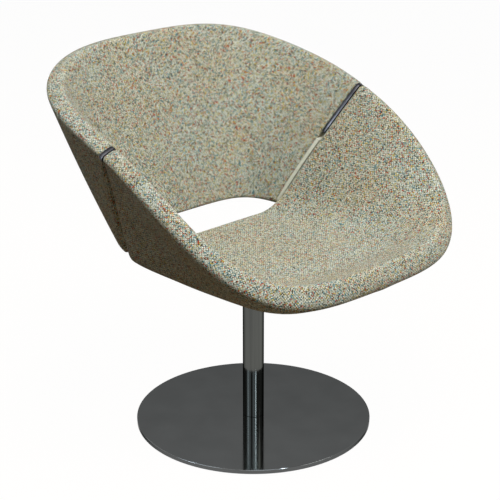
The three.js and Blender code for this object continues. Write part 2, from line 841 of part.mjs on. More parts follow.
const pocketEnd = coreEnd + jointInsertLength + clearance;
const corePockets = {
  seat: jointTools(jointInsertRadius + clearance, -pocketEnd, -coreEnd + cutOverrun),
  back: jointTools(jointInsertRadius + clearance, coreEnd - cutOverrun, pocketEnd),
};
const coverPockets = {
  seat: jointTools(jointInsertRadius + clearance, -pocketEnd, -coreEnd),
  back: jointTools(jointInsertRadius + clearance, coreEnd, pocketEnd),
};
const studHoles = jointTools(jointStudRadius + clearance, -coreEnd - jointStudGrip, coreEnd + jointStudGrip);

// Seat: a bowl cut off by the joint plane, with its core inside

function seatCoreBowl(grow) {
  const whole = bowl(
    coreSteps, (angle) => coreSection(sectionAt(angle), grow), corePath, coreLow - grow, () => coreHigh + grow,
  );
  return toSolid(whole).intersect(frontBlock(coreEnd - grow));
}

const seatCore = cutBy(seatCoreBowl(0), [
  ...corePockets.seat,
  ...atPlateBolts(tNutBarrelRadius + clearance, coreLow - cutOverrun, coreHigh + cutOverrun),
]);
addPiece(swivelGroup, 'seat_core', toGeometry(seatCore), beechPly);

const seatFeet = { outerFoot: footRounding, innerFoot: panRounding, footSteps: footRoundingSteps };
const seatPath = (section, beforeFoot, afterFoot) => skinPath(section, beforeFoot, afterFoot, seatFeet);
const seatSkin = toSolid(bowl(skinSteps, sectionAt, seatPath, undersideHeight, panHeight))
  .intersect(frontBlock(jointGap / 2));
const plateRecess = toSolid(rod(
  seatPlateRadius + plateRecessMargin, undersideHeight - cutOverrun, coreLow + clearance, bushSegments,
));
const seatUpholstery = cutBy(seatSkin, [
  seatCoreBowl(clearance),
  plateRecess,
  ...studHoles,
  ...coverPockets.seat,
  ...atPlateBolts(tNutFlangeRadius + clearance, coreHigh, tNutHigh + clearance),
]);
addPiece(swivelGroup, 'seat_upholstery', toGeometry(seatUpholstery), tweed);

// Back: a band between the two joints, with its core inside

const backFeet = { outerFoot: backEdgeRounding, innerFoot: backEdgeRounding, footSteps: roundingSteps };

function backSkinPath(angle, inset) {
  const section = drawnIn(backSectionAt(angle), inset);
  return skinPath(section, section.footInner, section.footOuter, backFeet);
}

function backCoreBand(grow) {
  return toSolid(backBand(backCoreSteps, (angle) => backCoreSection(angle, grow), coreEnd - grow, 0));
}

addPiece(swivelGroup, 'back_core', toGeometry(cutBy(backCoreBand(0), corePockets.back)), beechPly);

const backSkin = toSolid(backBand(backSkinSteps, backSkinPath, jointGap / 2, backEndRounding));
const backUpholstery = cutBy(backSkin, [backCoreBand(clearance), ...studHoles, ...coverPockets.back]);
addPiece(swivelGroup, 'back_upholstery', toGeometry(backUpholstery), tweed);

export default chair;
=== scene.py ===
"""Pedestal swivel armchair: two upholstered shells on a dark polished column and disc.

The sizes are metres. +Z is up, the sitter faces -Y, and the origin is on the floor on the column's axis.
"""

import json
import math

import bmesh
import bpy
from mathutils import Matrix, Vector


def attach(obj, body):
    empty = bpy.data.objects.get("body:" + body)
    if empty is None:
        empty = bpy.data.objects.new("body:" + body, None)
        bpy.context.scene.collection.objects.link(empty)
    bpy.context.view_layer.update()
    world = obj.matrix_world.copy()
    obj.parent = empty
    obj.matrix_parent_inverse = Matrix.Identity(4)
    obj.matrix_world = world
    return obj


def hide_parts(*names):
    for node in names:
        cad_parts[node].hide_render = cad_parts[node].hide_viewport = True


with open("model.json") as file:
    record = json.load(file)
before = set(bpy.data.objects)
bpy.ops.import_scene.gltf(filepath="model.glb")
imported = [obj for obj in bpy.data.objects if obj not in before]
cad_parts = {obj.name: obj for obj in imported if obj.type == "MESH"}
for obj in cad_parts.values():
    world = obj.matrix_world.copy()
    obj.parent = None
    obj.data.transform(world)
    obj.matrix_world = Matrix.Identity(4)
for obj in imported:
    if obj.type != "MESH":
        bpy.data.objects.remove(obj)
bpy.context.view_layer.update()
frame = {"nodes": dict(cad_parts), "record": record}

UP = Vector((0, 0, 1))

# Rim of the shells: its outer top corner in plan and in height
RIM_HALF_WIDTH = 0.369
RIM_FRONT_REACH = 0.363
RIM_BACK_REACH = 0.355
RIM_FRONT_SQUARENESS = 3
RIM_BACK_SQUARENESS = 3.05
RIM_CORNER_SHARE = 0.78
RIM_STATIONS = (
    (-RIM_FRONT_REACH, 0.403),
    (-RIM_FRONT_REACH * RIM_CORNER_SHARE, 0.453),
    (-RIM_FRONT_REACH / 2, 0.532),
    (0, 0.647),
    (RIM_BACK_REACH / 2, 0.711),
    (RIM_BACK_REACH, 0.783),
)

# Thickness across the rim, and how far its inner corner stands above the outer one: front, arm, back
RIM_THICKNESS = (0.048, 0.036, 0.036)
RIM_RISE = (0.044, 0.020, 0.008)
FRONT_BLEND_POWER = 0.94

# Foot of the outer wall, and foot of the inner wall at the seat pan
UNDERSIDE_HEIGHT = 0.371
FOOT_CENTRE_Y = -0.030
FOOT_HALF_WIDTH = 0.225
FOOT_FRONT_REACH = 0.282
FOOT_BACK_REACH = 0.272
FOOT_FRONT_SQUARENESS = 6.6
FOOT_BACK_SQUARENESS = 3.7
FOOT_FRONT_LIFT = 0.027
PAN_HALF_WIDTH = 0.193
PAN_FRONT_REACH = 0.222
PAN_BACK_REACH = 0.245
PAN_FRONT_SQUARENESS = 3.4
PAN_BACK_SQUARENESS = 5.6
PAN_REAR_HEIGHT = 0.397
PAN_FRONT_HEIGHT = 0.410
BACK_EDGE_HEIGHT = 0.412

# Roundings of the section's corners, as lengths along the sides that they join, and the walls' crown
RIM_OUTER_ROUNDING = 0.009
RIM_INNER_ROUNDING = 0.012
LIP_ROUNDING = 0.021
LIP_CREASE_ROUNDING = 0.011
FOOT_ROUNDING = 0.038
PAN_ROUNDING = 0.066
BACK_EDGE_ROUNDING = 0.009
OUTER_WALL_BOW = (0.005, 0, 0.012)
INNER_WALL_BOW = (0.004, 0, 0.004)
RIM_BOW = 0.0015
PAN_BOW = 0.003

# The tilted joint between the shells
JOINT_POINT = Vector((0, 0.028, 0.657))
JOINT_TILT = math.radians(21.9)
JOINT_NORMAL = Vector((0, math.cos(JOINT_TILT), math.sin(JOINT_TILT)))
JOINT_GAP = 0.009
END_ROUNDING = 0.009
END_INSET = 0.006
END_LEVEL_SHARES = (0.06, 0.2, 0.4, 0.65, 1)

# Recess in the seat's underside, round the seat plate
RECESS_RADIUS = 0.092
RECESS_TOP = 0.3773
RECESS_TOP_SHARES = (0.5, 0.97)
UNDERSIDE_START_SHARE = 1.03

# The back's first row, as an angle from the front, and how many rows and points there are
BACK_START = math.radians(80)
SEAT_COLUMNS = 180
BACK_COLUMNS = 120
CORNER_STEPS = 7
WALL_STEPS = 26
RIM_STEPS = 5
UNDERSIDE_STEPS = 12

# What the mesh work counts as close, flat or sharp
MERGE_DISTANCE = 0.00002
DIRECTION_PROBE = 0.01
LARGEST_ROUNDING_SHARE = 0.48
ROUNDING_PULL = 2 / 3
COVER_SHARP_ANGLE = math.radians(40)
PLACE_TOLERANCE = 0.1
FLAT_END_COSINE = 0.9999
FLATTENING_ROUNDS = 18
PANEL_MARGIN = 0.001
SMALLEST_AREA = 1e-12


# Shape of the shells

def ring_point(centre_y, half_width, front, back, front_square, back_square, angle):
    """A point of a squared ellipse in plan, at an angle counted from the front."""
    across, along = abs(math.sin(angle)), abs(math.cos(angle))
    reach, power = (front, front_square) if math.cos(angle) > 0 else (back, back_square)
    radius = ((across / half_width) ** power + (along / reach) ** power) ** (-1 / power)
    return Vector((radius * math.sin(angle), centre_y - radius * math.cos(angle), 0))


def rim_ring(angle):
    return ring_point(0, RIM_HALF_WIDTH, RIM_FRONT_REACH, RIM_BACK_REACH,
                      RIM_FRONT_SQUARENESS, RIM_BACK_SQUARENESS, angle)


def foot_ring(angle):
    return ring_point(FOOT_CENTRE_Y, FOOT_HALF_WIDTH, FOOT_FRONT_REACH, FOOT_BACK_REACH,
                      FOOT_FRONT_SQUARENESS, FOOT_BACK_SQUARENESS, angle)


def pan_ring(angle):
    return ring_point(FOOT_CENTRE_Y, PAN_HALF_WIDTH, PAN_FRONT_REACH, PAN_BACK_REACH,
                      PAN_FRONT_SQUARENESS, PAN_BACK_SQUARENESS, angle)


def rim_height(y):
    """The smooth curve through the rim's six named heights."""
    total = 0
    for station_y, height in RIM_STATIONS:
        others = [other for other, _ in RIM_STATIONS if other != station_y]
        total += height * math.prod((y - other) / (station_y - other) for other in others)
    return total


def pan_height(y):
    share = (y - FOOT_CENTRE_Y + PAN_FRONT_REACH) / (PAN_FRONT_REACH + PAN_BACK_REACH)
    return PAN_FRONT_HEIGHT + (PAN_REAR_HEIGHT - PAN_FRONT_HEIGHT) * share


def round_the_rim(angle, front, arm, back):
    share = math.cos(angle)
    if share > 0:
        return arm + (front - arm) * share ** FRONT_BLEND_POWER
    return arm + (back - arm) * -share


def section_at(angle):
    """The wall's four corners at an angle: outer foot, outer rim, inner rim, inner foot."""
    rim_outer = rim_ring(angle)
    rim_outer.z = rim_height(rim_outer.y)
    along = rim_ring(angle + DIRECTION_PROBE) - rim_ring(angle - DIRECTION_PROBE)
    inward = Vector((-along.y, along.x, 0)).normalized()
    thickness = round_the_rim(angle, *RIM_THICKNESS)
    rise = round_the_rim(angle, *RIM_RISE)
    rim_inner = rim_outer + inward * math.sqrt(thickness ** 2 - rise ** 2) + UP * rise
    foot_outer = foot_ring(angle)
    foot_outer.z = UNDERSIDE_HEIGHT + FOOT_FRONT_LIFT * max(0, math.cos(angle)) ** 2
    foot_inner = pan_ring(angle)
    foot_inner.z = pan_height(foot_inner.y)
    return foot_outer, rim_outer, rim_inner, foot_inner, inward


def back_section_at(angle):
    """The back's wall ends square at its lower edge."""
    foot_outer, rim_outer, rim_inner, foot_inner, inward = section_at(angle)
    outer_up = (rim_outer - foot_outer).normalized()
    inner_up = (rim_inner - foot_inner).normalized()
    foot_inner = foot_inner + inner_up * ((BACK_EDGE_HEIGHT - foot_inner.z) / inner_up.z)
    slide = (foot_inner - foot_outer).dot(inner_up) / outer_up.dot(inner_up)
    return foot_outer + outer_up * slide, rim_outer, rim_inner, foot_inner, inward


def across(low, high, inward):
    """The direction into the wall from a face that runs from low to high."""
    face_up = (high - low).normalized()
    return (inward - face_up * face_up.dot(inward)).normalized()


class Side:
    """One side of a section: a straight line with a bow, cut back at both ends for the roundings."""

    def __init__(self, low, high, bow=Vector((0, 0, 0)), steps=WALL_STEPS):
        self.low, self.high, self.bow, self.steps = low, high, bow, steps
        self.length = (high - low).length

    def point(self, share):
        return self.low.lerp(self.high, share) + self.bow * (4 * share * (1 - share))

    def slope(self, share):
        return (self.high - self.low + self.bow * (4 - 8 * share)).normalized()


def corner(before, after, rounding):
    """A rounding between two sides, and the shares of both sides that it takes."""
    reach = min(rounding, before.length * LARGEST_ROUNDING_SHARE, after.length * LARGEST_ROUNDING_SHARE)
    leave, arrive = 1 - reach / before.length, reach / after.length
    start, end = before.point(leave), after.point(arrive)
    pull = reach * ROUNDING_PULL
    first = start + before.slope(leave) * pull
    second = end - after.slope(arrive) * pull
    points = []
    for step in range(CORNER_STEPS + 1):
        t = step / CORNER_STEPS
        u = 1 - t
        points.append(start * u ** 3 + first * (3 * u * u * t) + second * (3 * u * t * t) + end * t ** 3)
    return points, leave, arrive


def joined(sides, roundings):
    """The points of a run of sides with a rounding between each two of them, without the run's two ends."""
    points = []
    arrive = 0
    for index, side in enumerate(sides):
        rounding, leave, next_arrive = [], 1, 0
        if index < len(roundings):
            rounding, leave, next_arrive = corner(side, sides[index + 1], roundings[index])
        for step in range(1, side.steps):
            points.append(side.point(arrive + (leave - arrive) * step / side.steps))
        points.extend(rounding)
        arrive = next_arrive
    return points


def wall_sides(corners, angle):
    """Outer face, rim and inner face, with the crown that the padding gives them."""
    foot_outer, rim_outer, rim_inner, foot_inner, inward = corners
    outer_bow = across(foot_outer, rim_outer, inward) * -round_the_rim(angle, *OUTER_WALL_BOW)
    inner_bow = across(foot_inner, rim_inner, inward) * round_the_rim(angle, *INNER_WALL_BOW)
    rim_bow = (rim_outer - foot_outer + rim_inner - foot_inner).normalized() * RIM_BOW
    return [
        Side(foot_outer, rim_outer, outer_bow),
        Side(rim_outer, rim_inner, rim_bow, RIM_STEPS),
        Side(rim_inner, foot_inner, inner_bow),
    ]


def rim_roundings(angle):
    outer = round_the_rim(angle, LIP_ROUNDING, RIM_OUTER_ROUNDING, RIM_OUTER_ROUNDING)
    inner = round_the_rim(angle, LIP_CREASE_ROUNDING, RIM_INNER_ROUNDING, RIM_INNER_ROUNDING)
    return outer, inner


def seat_row(angle):
    """From the middle of the underside, over the rim, to the middle of the seat pan."""
    corners = section_at(angle)
    foot_outer, foot_inner = corners[0], corners[3]
    outward = Vector((foot_outer.x, foot_outer.y, 0)).normalized()
    recess_edge = outward * RECESS_RADIUS
    recess_middle = UP * RECESS_TOP
    recess_corner = recess_edge + recess_middle
    underside_start = recess_edge * UNDERSIDE_START_SHARE + UP * UNDERSIDE_HEIGHT
    pan_middle = Vector((0, FOOT_CENTRE_Y, pan_height(FOOT_CENTRE_Y)))
    sides = [
        Side(underside_start, foot_outer, steps=UNDERSIDE_STEPS),
        *wall_sides(corners, angle),
        Side(foot_inner, pan_middle, UP * PAN_BOW, UNDERSIDE_STEPS * 2),
    ]
    rim_outer, rim_inner = rim_roundings(angle)
    return [
        recess_middle,
        *(recess_middle.lerp(recess_corner, share) for share in RECESS_TOP_SHARES),
        recess_corner,
        recess_edge + UP * UNDERSIDE_HEIGHT,
        underside_start,
        *joined(sides, [FOOT_ROUNDING, rim_outer, rim_inner, PAN_ROUNDING]),
        pan_middle,
    ]


def back_row(angle):
    """Once round the back's wall, starting in the middle of its lower edge."""
    corners = back_section_at(angle)
    foot_outer, foot_inner = corners[0], corners[3]
    middle = foot_outer.lerp(foot_inner, 0.5)
    sides = [
        Side(middle, foot_outer, steps=RIM_STEPS),
        *wall_sides(corners, angle),
        Side(foot_inner, middle, steps=RIM_STEPS),
    ]
    rim_outer, rim_inner = rim_roundings(angle)
    return [middle, *joined(sides, [BACK_EDGE_ROUNDING, rim_outer, rim_inner, BACK_EDGE_ROUNDING]), middle]


# Making pieces

def in_scene(name, data):
    thing = bpy.data.objects.new(name, data)
    bpy.context.scene.collection.objects.link(thing)
    return thing


def new_mesh(name, bm, material):
    mesh = bpy.data.meshes.new(name)
    bm.to_mesh(mesh)
    bm.free()
    mesh.materials.append(material)
    return in_scene(name, mesh)


def new_piece(name, bm, material, slot, body, replaced):
    """A finished mesh as a piece that rides on a body and stands for the named CAD nodes."""
    piece = new_mesh(name, bm, material)
    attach(piece, body)
    if replaced:
        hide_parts(*replaced)
    return piece


def lofted(rows):
    """A sheet over rows of points, closed where its edges meet. Each point keeps its place in its row."""
    bm = bmesh.new()
    bmesh.ops.create_grid(bm, x_segments=len(rows[0]) - 1, y_segments=len(rows) - 1, size=1)
    place = bm.verts.layers.float.new("place_in_row")
    points = [(index, point) for row in rows for index, point in enumerate(row)]
    for vert, (index, point) in zip(bm.verts, points):
        vert.co = point
        vert[place] = index
    bmesh.ops.remove_doubles(bm, verts=bm.verts, dist=MERGE_DISTANCE)
    bmesh.ops.recalc_face_normals(bm, faces=bm.faces)
    return bm


def everything(bm):
    return bm.verts[:] + bm.edges[:] + bm.faces[:]


def cut_at_joint(bm, keep):
    """Cuts a shell at the joint and rounds its end. keep is 1 behind the joint and -1 in front of it."""
    end = JOINT_POINT + JOINT_NORMAL * (keep * JOINT_GAP / 2)
    bmesh.ops.bisect_plane(bm, geom=everything(bm), plane_co=end, plane_no=JOINT_NORMAL * -keep,
                           clear_outer=True)
    for share in END_LEVEL_SHARES:
        level = end + JOINT_NORMAL * (keep * END_ROUNDING * share)
        bmesh.ops.bisect_plane(bm, geom=everything(bm), plane_co=level, plane_no=JOINT_NORMAL,
                               dist=MERGE_DISTANCE)
    bm.normal_update()
    moves = []
    for vert in bm.verts:
        depth = (vert.co - JOINT_POINT).dot(JOINT_NORMAL) * keep - JOINT_GAP / 2
        if depth < END_ROUNDING:
            normal = vert.normal - JOINT_NORMAL * vert.normal.dot(JOINT_NORMAL)
            share = 1 - max(0, depth) / END_ROUNDING
            moves.append((vert, normal.normalized() * (END_INSET * (1 - math.sqrt(1 - share ** 2)))))
    for vert, move in moves:
        vert.co -= move
    rim = [edge for edge in bm.edges if edge.is_boundary]
    bmesh.ops.triangle_fill(bm, edges=rim, use_beauty=False, normal=JOINT_NORMAL)
    bmesh.ops.recalc_face_normals(bm, faces=bm.faces)


def smoothed(bm, sharp_angle=COVER_SHARP_ANGLE):
    """Smooth faces, with hard edges where they meet at more than an angle."""
    for face in bm.faces:
        face.smooth = True
    for edge in bm.edges:
        edge.smooth = edge.calc_face_angle(0) < sharp_angle


def marked_seams(bm, places):
    """Seams where the covers are sewn: along the named places of the rows, and round the flat ends."""
    place = bm.verts.layers.float.get("place_in_row")
    for edge in bm.edges:
        sewn = any(all(abs(vert[place] - row) < PLACE_TOLERANCE for vert in edge.verts) for row in places)
        flat_ends = sum(abs(face.normal.dot(JOINT_NORMAL)) > FLAT_END_COSINE for face in edge.link_faces)
        edge.seam = sewn or flat_ends == 1


def panels_of(bm):
    """The faces of each panel between seams, in the same order each run."""
    left = dict.fromkeys(bm.faces)
    while left:
        panel, waiting = [], [left.popitem()[0]]
        while waiting:
            face = waiting.pop()
            panel.append(face)
            for edge in face.edges:
                if edge.seam:
                    continue
                for other in edge.link_faces:
                    if other in left:
                        del left[other]
                        waiting.append(other)
        yield panel


def flat_area(face, uv):
    """A face's area on the cover's map."""
    corners = [loop[uv].uv for loop in face.loops]
    return abs(sum(a.cross(b) for a, b in zip(corners, corners[1:] + corners[:1]))) / 2


def lay_flat(piece):
    """Unwraps each panel of a cover, turns it so that its weave runs straight, and scales it to metres."""
    bpy.context.view_layer.objects.active = piece
    piece.select_set(True)
    bpy.ops.object.mode_set(mode="EDIT")
    bpy.ops.mesh.select_all(action="SELECT")
    bpy.ops.uv.unwrap(method="MINIMUM_STRETCH", iterations=FLATTENING_ROUNDS, margin=PANEL_MARGIN)
    bpy.ops.object.mode_set(mode="OBJECT")
    piece.select_set(False)
    bm = bmesh.new()
    bm.from_mesh(piece.data)
    uv = bm.loops.layers.uv.active
    for panel in panels_of(bm):
        loops = [loop for face in panel for loop in face.loops]
        middle = sum((loop[uv].uv for loop in loops), Vector((0, 0))) / len(loops)
        lean = sum(((loop[uv].uv - middle) * loop.vert.co.x for loop in loops), Vector((0, 0)))
        turn = math.atan2(lean.y, lean.x)
        solid = sum(face.calc_area() for face in panel)
        flat = sum(flat_area(face, uv) for face in panel)
        scale = math.sqrt(solid / max(flat, SMALLEST_AREA))
        cosine, sine = math.cos(turn) * scale, math.sin(turn) * scale
        for loop in loops:
            x, y = loop[uv].uv - middle
            loop[uv].uv = (x * cosine + y * sine, y * cosine - x * sine)
    bm.to_mesh(piece.data)
    bm.free()


# Materials

class Nodes:
    """A node tree, built one node at a time."""

    def __init__(self, tree):
        self.tree = tree

    def node(self, kind, inputs=None, **settings):
        node = self.tree.nodes.new(f"ShaderNode{kind}")
        for name, value in settings.items():
            setattr(node, name, value)
        for key, value in (inputs or {}).items():
            self.set(node.inputs[key], value)
        return node

    def set(self, socket, value):
        if isinstance(value, bpy.types.Node):
            value = value.outputs[0]
        if isinstance(value, bpy.types.NodeSocket):
            self.tree.links.new(value, socket)
        else:
            socket.default_value = value

    def math(self, operation, *values):
        return self.node("Math", dict(enumerate(values)), operation=operation)

    def vector(self, operation, *values):
        return self.node("VectorMath", dict(enumerate(values)), operation=operation)

    def scaled(self, value, factor):
        return self.node("VectorMath", {0: value, "Scale": factor}, operation="SCALE")

    def times(self, first, second):
        """Two colours multiplied."""
        node = self.node("Mix", {"Factor": 1.0}, data_type="RGBA", blend_type="MULTIPLY")
        self.set(node.inputs["A"], first)
        self.set(node.inputs["B"], second)
        return node.outputs["Result"]

    def seen(self):
        """1 for rays from the camera, from a gloss or through glass, and 0 for all others."""
        path = self.node("LightPath").outputs
        through = self.math("MAXIMUM", path["Is Glossy Ray"], path["Is Transmission Ray"])
        return self.math("MAXIMUM", path["Is Camera Ray"], through)

    def ramp(self, value, stops, steps=False):
        node = self.node("ValToRGB", {"Fac": value})
        node.color_ramp.interpolation = "CONSTANT" if steps else "LINEAR"
        elements = node.color_ramp.elements
        while len(elements) < len(stops):
            elements.new(0.5)
        for element, (place, colour) in zip(elements, stops):
            element.position = place
            element.color = colour
        return node.outputs["Color"]

    def noise(self, scale, detail, where, roughness=0.5):
        inputs = {"Scale": scale, "Detail": detail, "Vector": where, "Roughness": roughness}
        return self.node("TexNoise", inputs).outputs["Fac"]

    def place(self):
        return self.node("TexCoord").outputs["Object"]


class Finish(Nodes):
    """A node material on top of its Principled shader."""

    def __init__(self, name):
        self.material = bpy.data.materials.new(name)
        self.material.use_nodes = True
        super().__init__(self.material.node_tree)
        self.shader = self.tree.nodes["Principled BSDF"]

    def shade(self, **values):
        for name, value in values.items():
            self.set(self.shader.inputs[name.replace("_", " ")], value)

    def bump(self, height, strength, distance):
        node = self.node("Bump", {"Height": height, "Strength": strength, "Distance": distance})
        self.set(self.shader.inputs["Normal"], node)


def grey(value):
    return value, value, value, 1


def dimmed(colour, share):
    return *(channel * share for channel in colour[:3]), 1


def srgb(red, green, blue):
    """A colour given as 0 to 255, as the linear values that a node takes."""
    def linear(value):
        value /= 255
        return value / 12.92 if value <= 0.04045 else ((value + 0.055) / 1.055) ** 2.4
    return linear(red), linear(green), linear(blue), 1


# The weave's pitch and relief in metres, its sway in yarns, the powers that shape a yarn's hump, and the
# scales of its noises. The patches' scale is that of the whole chair, and the others count yarns
YARN_PITCH = 0.0029
YARN_RELIEF = 0.0008
FIBRE_RELIEF_SHARE = 0.5
FLECKS_PER_YARN = 1.3
YARN_SWAY = 0.4
HUMP_ALONG = 0.3
HUMP_ACROSS = 0.7
SWAY_SCALE = 0.35
FIBRE_SCALE = 5.0
SLUB_SCALES = (0.12, 0.9)
PATCH_SCALE = 9.0

# Each yarn colour takes the flecks from its own share to the next one's
YARN_COLOURS = (
    (0.00, srgb(226, 228, 215)),
    (0.34, srgb(182, 181, 163)),
    (0.54, srgb(250, 251, 242)),
    (0.70, srgb(116, 166, 180)),
    (0.81, srgb(216, 100, 66)),
    (0.87, srgb(226, 204, 106)),
    (0.93, srgb(92, 86, 74)),
)


def tweed_finish():
    """Plain weave of thick flecked yarns, with painted shade that darkens the colour between the yarns'
    humps. The cover's own map, in metres, carries the weave.
    """
    finish = Finish("tweed")
    strands = finish.scaled(finish.node("UVMap").outputs["UV"], 1 / YARN_PITCH)
    wobble = finish.node("TexNoise", {"Vector": strands, "Scale": SWAY_SCALE, "Detail": 1.0})
    either_way = finish.vector("SUBTRACT", wobble.outputs["Color"], (0.5, 0.5, 0.5))
    strands = finish.vector("ADD", strands, finish.scaled(either_way, YARN_SWAY))
    inside = finish.node("SeparateXYZ", {"Vector": finish.vector("FRACTION", strands)}).outputs
    cell = finish.node("SeparateXYZ", {"Vector": finish.vector("FLOOR", strands)}).outputs
    parity = finish.math("PINGPONG", finish.math("ADD", cell["X"], cell["Y"]), 1.0)

    def hump(share, sharpness):
        wave = finish.math("SINE", finish.math("MULTIPLY", share, math.pi))
        return finish.math("POWER", wave, sharpness)

    def yarn_on_top(across_it, along_it):
        return finish.math("MULTIPLY", hump(across_it, HUMP_ACROSS), hump(along_it, HUMP_ALONG))

    def one_or_other_way(first, second):
        node = finish.node("Mix", {"Factor": parity, "A": first, "B": second}, data_type="FLOAT")
        return node.outputs["Result"]

    def slubs(*scales):
        return finish.noise(1.0, 2.0, finish.node("Mapping", {"Vector": strands, "Scale": (*scales, 1)}))

    height = one_or_other_way(yarn_on_top(inside["X"], inside["Y"]), yarn_on_top(inside["Y"], inside["X"]))
    slub = one_or_other_way(slubs(*SLUB_SCALES), slubs(*reversed(SLUB_SCALES)))
    fibres = finish.noise(FIBRE_SCALE, 3.0, strands, 0.6)
    patches = finish.noise(PATCH_SCALE, 3.0, finish.place())
    flecks = finish.vector("FLOOR", finish.scaled(strands, FLECKS_PER_YARN))
    pick = finish.node("TexWhiteNoise", {"Vector": flecks}, noise_dimensions="2D").outputs["Value"]
    yarn = finish.ramp(pick, YARN_COLOURS, steps=True)
    for value, stops in (
            (parity, ((0.0, srgb(255, 255, 255)), (1.0, srgb(206, 205, 200)))),
            (slub, ((0.35, srgb(226, 226, 224)), (0.65, srgb(255, 255, 255)))),
            (fibres, ((0.3, srgb(226, 226, 222)), (0.7, srgb(255, 255, 254)))),
            # painted shade: the yarn's colour darkens in the low ground between the humps, where shade
            # falls
            (height, ((0.0, srgb(188, 184, 176)), (0.4, srgb(255, 255, 255)))),
            (patches, ((0.35, srgb(250, 255, 255)), (0.65, srgb(255, 250, 240))))):
        yarn = finish.times(yarn, finish.ramp(value, stops))
    finish.shade(Base_Color=yarn, Roughness=0.92, Sheen_Weight=0.12, Sheen_Roughness=0.5,
                 Specular_IOR_Level=0.0)
    relief = finish.math("ADD", height, finish.math("MULTIPLY", fibres, FIBRE_RELIEF_SHARE))
    finish.bump(relief, 0.5, YARN_RELIEF)
    return finish.material


# How the other finishes vary: sizes of their noises, and how much these dim or roughen
HAZE_SCALE = 14.0
HAZE_DIMMING = 0.9
HAZE_ROUGHENING = 1.8
GRAIN_DIMMING = 0.85
GRAIN_SMOOTHING = 0.85
GRAIN_ROUGHENING = 1.1
PLY_GRAIN_SCALE = (14, 90, 14)
DRAWN_LINE_SCALE = (150, 150, 1.5)
DRAWN_LINE_DARK = (0.080, 0.083, 0.078, 1)
DRAWN_LINE_LIGHT = (0.106, 0.110, 0.102, 1)


def polished_finish(name, colour, roughness, edge):
    """Polished metal with a faint haze."""
    finish = Finish(name)
    haze = finish.noise(HAZE_SCALE, 4.0, finish.place())
    rough = finish.ramp(haze, ((0.35, grey(roughness)), (0.7, grey(roughness * HAZE_ROUGHENING))))
    tone = finish.ramp(haze, ((0.3, colour), (0.75, dimmed(colour, HAZE_DIMMING))))
    finish.shade(Base_Color=tone, Metallic=1.0, Roughness=rough, Specular_Tint=grey(edge))
    return finish.material


def plain_finish(name, colour, roughness, metallic=0.0, grain=90.0, depth=0.0002):
    """A small part's finish: its colour with a fine grain in tone, gloss and surface."""
    finish = Finish(name)
    grains = finish.noise(grain, 4.0, finish.place())
    smoother, rougher = grey(roughness * GRAIN_SMOOTHING), grey(roughness * GRAIN_ROUGHENING)
    tone = finish.ramp(grains, ((0.3, dimmed(colour, GRAIN_DIMMING)), (0.7, colour)))
    rough = finish.ramp(grains, ((0.3, smoother), (0.7, rougher)))
    finish.shade(Base_Color=tone, Metallic=metallic, Roughness=rough)
    finish.bump(grains, 0.3, depth)
    return finish.material


def plywood_finish():
    """Pale plywood with its grain drawn out across the chair."""
    finish = Finish("beech_ply")
    grain = finish.node("Mapping", {"Vector": finish.place(), "Scale": PLY_GRAIN_SCALE})
    lines = finish.noise(1.0, 6.0, grain, 0.65)
    tone = finish.ramp(lines, ((0.3, srgb(196, 160, 118)), (0.7, srgb(222, 192, 150))))
    finish.shade(Base_Color=tone, Roughness=0.6)
    finish.bump(lines, 0.2, 0.0003)
    return finish.material


def drawn_finish():
    """The column's polished steel, with faint lines drawn along the tube."""
    finish = Finish("column_steel")
    lengthwise = finish.node("Mapping", {"Vector": finish.place(), "Scale": DRAWN_LINE_SCALE})
    lines = finish.noise(1.0, 3.0, lengthwise, 0.6)
    tone = finish.ramp(lines, ((0.35, DRAWN_LINE_DARK), (0.65, DRAWN_LINE_LIGHT)))
    finish.shade(Base_Color=tone, Metallic=1.0, Roughness=0.07, Specular_Tint=grey(0.12))
    return finish.material


finishes = {
    "polished_steel": polished_finish("polished_steel", (0.112, 0.116, 0.116, 1), 0.06, 0.32),
    "bright_steel": polished_finish("bright_steel", (0.50, 0.51, 0.52, 1), 0.22, 0.9),
    "zinc_steel": plain_finish("zinc_steel", srgb(188, 186, 176), 0.38, metallic=1.0),
    "black_steel": plain_finish("black_steel", srgb(36, 37, 39), 0.5),
    "black_rubber": plain_finish("black_rubber", srgb(26, 26, 26), 0.85, grain=140.0),
    "pale_nylon": plain_finish("pale_nylon", srgb(219, 214, 200), 0.45, grain=60.0),
    "tweed": tweed_finish(),
    "beech_ply": plywood_finish(),
}
column_finish = drawn_finish()
joint_plate_finish = polished_finish("joint_plate_steel", (0.043, 0.043, 0.047, 1), 0.2, 0.5)
welt_finish = plain_finish("welt", srgb(206, 207, 190), 0.85, grain=260.0, depth=0.0001)


# Upholstery

# Places in a row, counted from its start: the recess's two corners, and the middle of each rounding
RECESS_PLACES = (3, 4)
UNDERSIDE_START_PLACE = 5
FOOT_PLACE = UNDERSIDE_START_PLACE + UNDERSIDE_STEPS + CORNER_STEPS // 2
RIM_PLACE = FOOT_PLACE + CORNER_STEPS + WALL_STEPS
INNER_RIM_PLACE = RIM_PLACE + CORNER_STEPS + RIM_STEPS
PAN_PLACE = INNER_RIM_PLACE + CORNER_STEPS + WALL_STEPS
BACK_FOOT_PLACE = RIM_STEPS + CORNER_STEPS // 2
BACK_RIM_PLACE = BACK_FOOT_PLACE + CORNER_STEPS + WALL_STEPS
BACK_INNER_RIM_PLACE = BACK_RIM_PLACE + CORNER_STEPS + RIM_STEPS


def rows_round(row, columns, start=0.0):
    """Rows from an angle on one side of the front, round behind, to the same angle on the other side."""
    span = 2 * (math.pi - start)
    return [row(start + span * step / columns) for step in range(columns + 1)]


def shell(name, rows, keep, seam_places):
    """A cover on its own side of the joint, sewn along the given places of its rows."""
    bm = lofted(rows)
    cut_at_joint(bm, keep)
    marked_seams(bm, seam_places)
    smoothed(bm)
    piece = new_piece(name, bm, finishes["tweed"], "tweed", "seat", [name.removesuffix("_cover")])
    lay_flat(piece)


